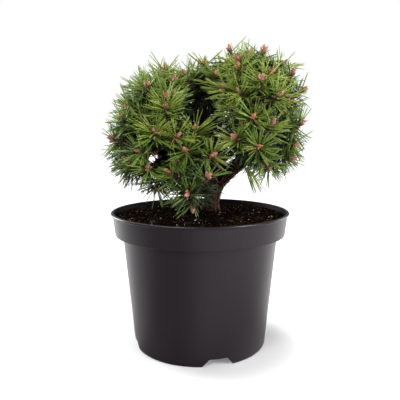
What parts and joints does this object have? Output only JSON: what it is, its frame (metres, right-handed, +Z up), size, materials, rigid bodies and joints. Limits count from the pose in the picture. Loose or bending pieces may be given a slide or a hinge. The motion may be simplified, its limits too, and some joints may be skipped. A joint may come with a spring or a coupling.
{
  "type": "potted dwarf mugo pine",
  "caption": "Bushy dwarf mountain pine with a short leaning trunk, standing in a round black plastic nursery pot.",
  "frame": {"origin": "centre of the pot's flat underside, on the pot's axis", "axes": "+Z up along the pot's axis, -Y towards the side that the picture shows, +X to that view's right, where the trunk leans"},
  "size_m": [0.2389, 0.1945, 0.3244],
  "materials": {
    "pot": "satin black, smooth moulded",
    "soil": "dark peat compost with pale specks",
    "bark": "rough scaly brown bark",
    "needles": "mid-green pine needles with pinkish brown buds"
  },
  "bodies": {
    "root": {"pot": "pot", "soil": "soil", "trunk": "bark", "bough_right_top": "bark", "bough_right_edge": "bark", "bough_right_low": "bark", "bough_right_back": "bark", "bough_crest": "bark", "bough_back": "bark", "bough_left_top": "bark", "bough_left_side": "bark", "bough_left_middle": "bark", "bough_left_back": "bark", "bough_front_low": "bark", "bough_top": "bark", "bough_right_face": "bark", "bough_right_shoulder": "bark", "bough_right_front": "bark", "bough_right_crown_back": "bark", "bough_right_middle": "bark", "bough_right_skirt": "bark", "bough_right_rear": "bark", "bough_front_centre": "bark", "bough_crest_back": "bark", "bough_left_shoulder": "bark", "bough_left_front": "bark", "bough_left_edge": "bark", "bough_left_skirt": "bark", "bough_left_crown_back": "bark", "bough_left_low_back": "bark", "needles_right_top": "needles", "needles_right_edge": "needles", "needles_right_low": "needles", "needles_right_back": "needles", "needles_crest": "needles", "needles_back": "needles", "needles_left_top": "needles", "needles_left_side": "needles", "needles_left_middle": "needles", "needles_left_back": "needles", "needles_front_low": "needles", "needles_top": "needles", "needles_right_face": "needles", "needles_right_shoulder": "needles", "needles_right_front": "needles", "needles_right_crown_back": "needles", "needles_right_middle": "needles", "needles_right_skirt": "needles", "needles_right_rear": "needles", "needles_front_centre": "needles", "needles_crest_back": "needles", "needles_left_shoulder": "needles", "needles_left_front": "needles", "needles_left_edge": "needles", "needles_left_skirt": "needles", "needles_left_crown_back": "needles", "needles_left_low_back": "needles"}
  },
  "joints": []
}
